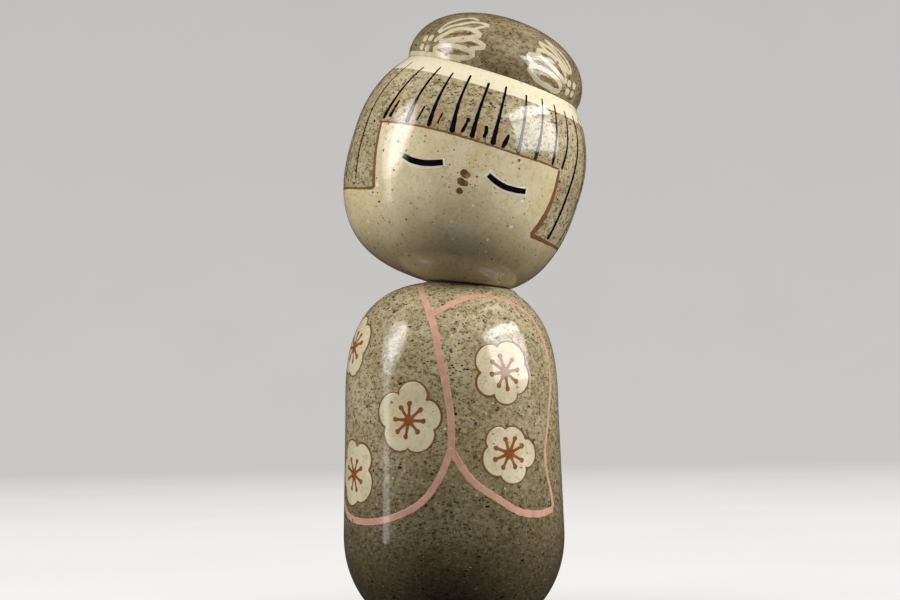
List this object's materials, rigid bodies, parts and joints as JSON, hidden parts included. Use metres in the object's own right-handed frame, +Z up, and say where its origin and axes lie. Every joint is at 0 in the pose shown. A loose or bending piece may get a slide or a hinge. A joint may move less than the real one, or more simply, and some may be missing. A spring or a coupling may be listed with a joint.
{
  "type": "kokeshi doll",
  "caption": "Upright turned wooden doll: barrel body, ball head that leans and turns on a peg, flattened bun on top.",
  "frame": {"origin": "centre of the flat base that the doll stands on", "axes": "+Z up the doll, the face looks along -Y, and the head leans towards +X"},
  "size_m": [0.0748, 0.0706, 0.1801],
  "materials": {
    "body_ground": "mottled grey-olive ground under clear gloss lacquer",
    "head_ground": "cream face and mottled hair under clear gloss lacquer",
    "bun_ground": "mottled dark olive ground under clear gloss lacquer",
    "peg_wood": "bare turned dowel",
    "pink_paint": "dusty pink line under clear lacquer",
    "cream_paint": "pale cream paint under clear lacquer",
    "rust_paint": "rust brown paint under clear lacquer",
    "black_paint": "black brush line under clear lacquer"
  },
  "bodies": {
    "body": {"body": "body_ground"},
    "head": {"head": "head_ground", "bun": "bun_ground", "neck_peg": "peg_wood", "bun_peg": "peg_wood"}
  },
  "joints": [
    {"name": "head_turn", "type": "hinge", "parent": "body", "child": "head", "pos_m": [0.0061, 0, 0.0975], "axis": [0.1115, 0, 0.9938], "continuous": true}
  ]
}
